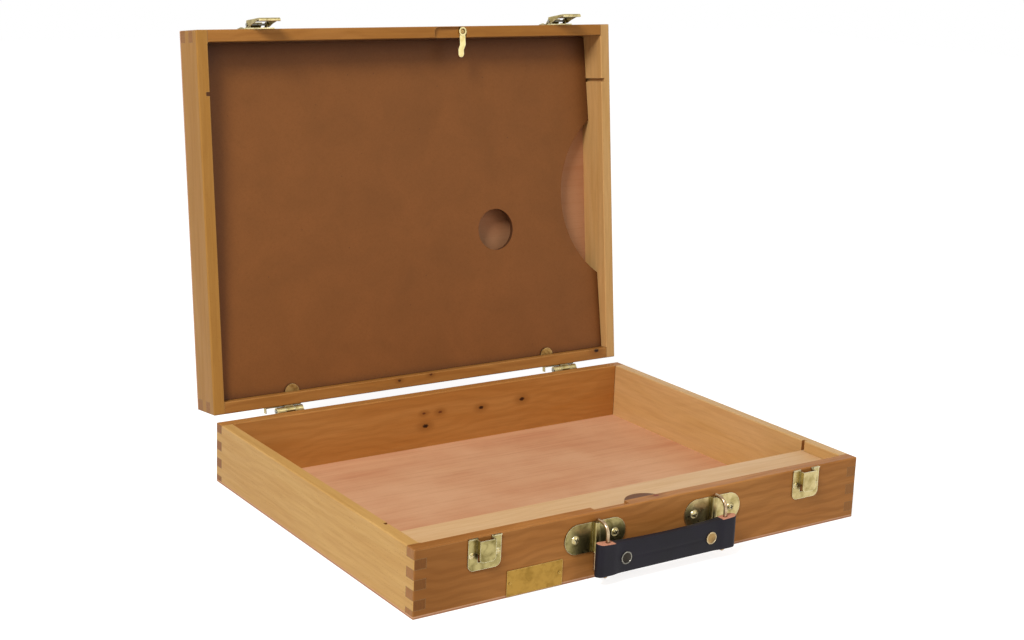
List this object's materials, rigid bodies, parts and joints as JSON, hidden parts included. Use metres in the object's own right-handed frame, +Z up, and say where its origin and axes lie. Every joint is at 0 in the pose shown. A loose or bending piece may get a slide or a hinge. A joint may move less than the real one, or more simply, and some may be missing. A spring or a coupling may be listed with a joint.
{
  "type": "brush box with hinged lid",
  "caption": "Shallow wooden brush and sketch box with finger-jointed boards, a lid that hinges open and holds a palette, hasp latches and a leather strap handle.",
  "frame": {"origin": "centre of the base's underside", "axes": "+X to the right along the front, +Y to the back, where the hinges are, +Z up; at rest the lid stands open"},
  "size_m": [0.42, 0.4118, 0.3827],
  "materials": {
    "beech_side": "satin varnish",
    "beech_front": "satin varnish",
    "beech_inner": "satin varnish",
    "plywood": "plain sanded",
    "hardboard": "smooth, oiled",
    "pale_brass": "lacquered sheet, slightly dull",
    "plate_brass": "lacquered sheet",
    "steel": "plain wire",
    "leather": "dark smooth leather, worn edges"
  },
  "bodies": {
    "base": {"base_front_board": "beech_front", "base_rear_board": "beech_inner", "base_left_board": "beech_side", "base_right_board": "beech_side", "base_bottom_panel": "plywood", "rim_rest": "beech_inner", "rim_pin": "steel", "hinge_left_base_leaf": "pale_brass", "hinge_left_pin": "steel", "hinge_right_base_leaf": "pale_brass", "hinge_right_pin": "steel", "hinge_base_screws": "pale_brass", "keeper_left": "pale_brass", "keeper_right": "pale_brass", "keeper_screws": "pale_brass", "ring_plate_left": "pale_brass", "ring_plate_right": "pale_brass", "ring_plate_screws": "pale_brass", "nameplate": "plate_brass", "nameplate_pins": "plate_brass"},
    "lid": {"lid_front_board": "beech_inner", "lid_rear_board": "beech_inner", "lid_left_board": "beech_side", "lid_right_board": "beech_side", "lid_top_panel": "plywood", "palette": "hardboard", "palette_discs": "pale_brass", "palette_clip_screw": "plate_brass", "hinge_left_lid_leaf": "pale_brass", "hinge_right_lid_leaf": "pale_brass", "hinge_lid_screws": "pale_brass", "hasp_plate_left": "pale_brass", "hasp_plate_right": "pale_brass", "hasp_plate_screws": "pale_brass", "hasp_pin_left": "steel", "hasp_pin_right": "steel"},
    "palette_clip": {"palette_clip": "plate_brass"},
    "hasp_left": {"hasp_left": "pale_brass"},
    "hasp_right": {"hasp_right": "pale_brass"},
    "ring_left": {"ring_left": "pale_brass"},
    "ring_right": {"ring_right": "pale_brass"},
    "strap": {"handle_strap": "leather", "handle_rivets": "plate_brass"}
  },
  "joints": [
    {"name": "lid_hinge", "type": "hinge", "parent": "base", "child": "lid", "pos_m": [0, 0.163, 0.05155], "axis": [1, 0, 0], "range_deg": [0, 96.5]},
    {"name": "palette_clip_swivel", "type": "hinge", "parent": "lid", "child": "palette_clip", "pos_m": [0.0466, 0.20058, 0.36682], "axis": [0, 0.9936, -0.1132], "range_deg": [0, 84]},
    {"name": "hasp_left_pivot", "type": "hinge", "parent": "lid", "child": "hasp_left", "pos_m": [-0.153, 0.20398, 0.37459], "axis": [-1, 0, 0], "range_deg": [-3.2, 90]},
    {"name": "hasp_right_pivot", "type": "hinge", "parent": "lid", "child": "hasp_right", "pos_m": [0.153, 0.20398, 0.37459], "axis": [-1, 0, 0], "range_deg": [-5, 90]},
    {"name": "ring_left_swing", "type": "hinge", "parent": "base", "child": "ring_left", "pos_m": [-0.056, -0.1614, 0.0332], "axis": [0, 0, 1], "range_deg": [-45, 45]},
    {"name": "strap_swing", "type": "hinge", "parent": "ring_left", "child": "strap", "pos_m": [-0.056, -0.1746, 0.0332], "axis": [0, 0, 1], "range_deg": [-45, 45]},
    {"name": "ring_right_swing", "type": "hinge", "parent": "base", "child": "ring_right", "pos_m": [0.056, -0.1614, 0.0332], "axis": [0, 0, 1], "range_deg": [-45, 45]}
  ],
  "couplings": [
    {"joint": "strap_swing", "follows": "ring_left_swing", "ratio": -1},
    {"joint": "ring_right_swing", "follows": "ring_left_swing", "ratio": 1}
  ]
}
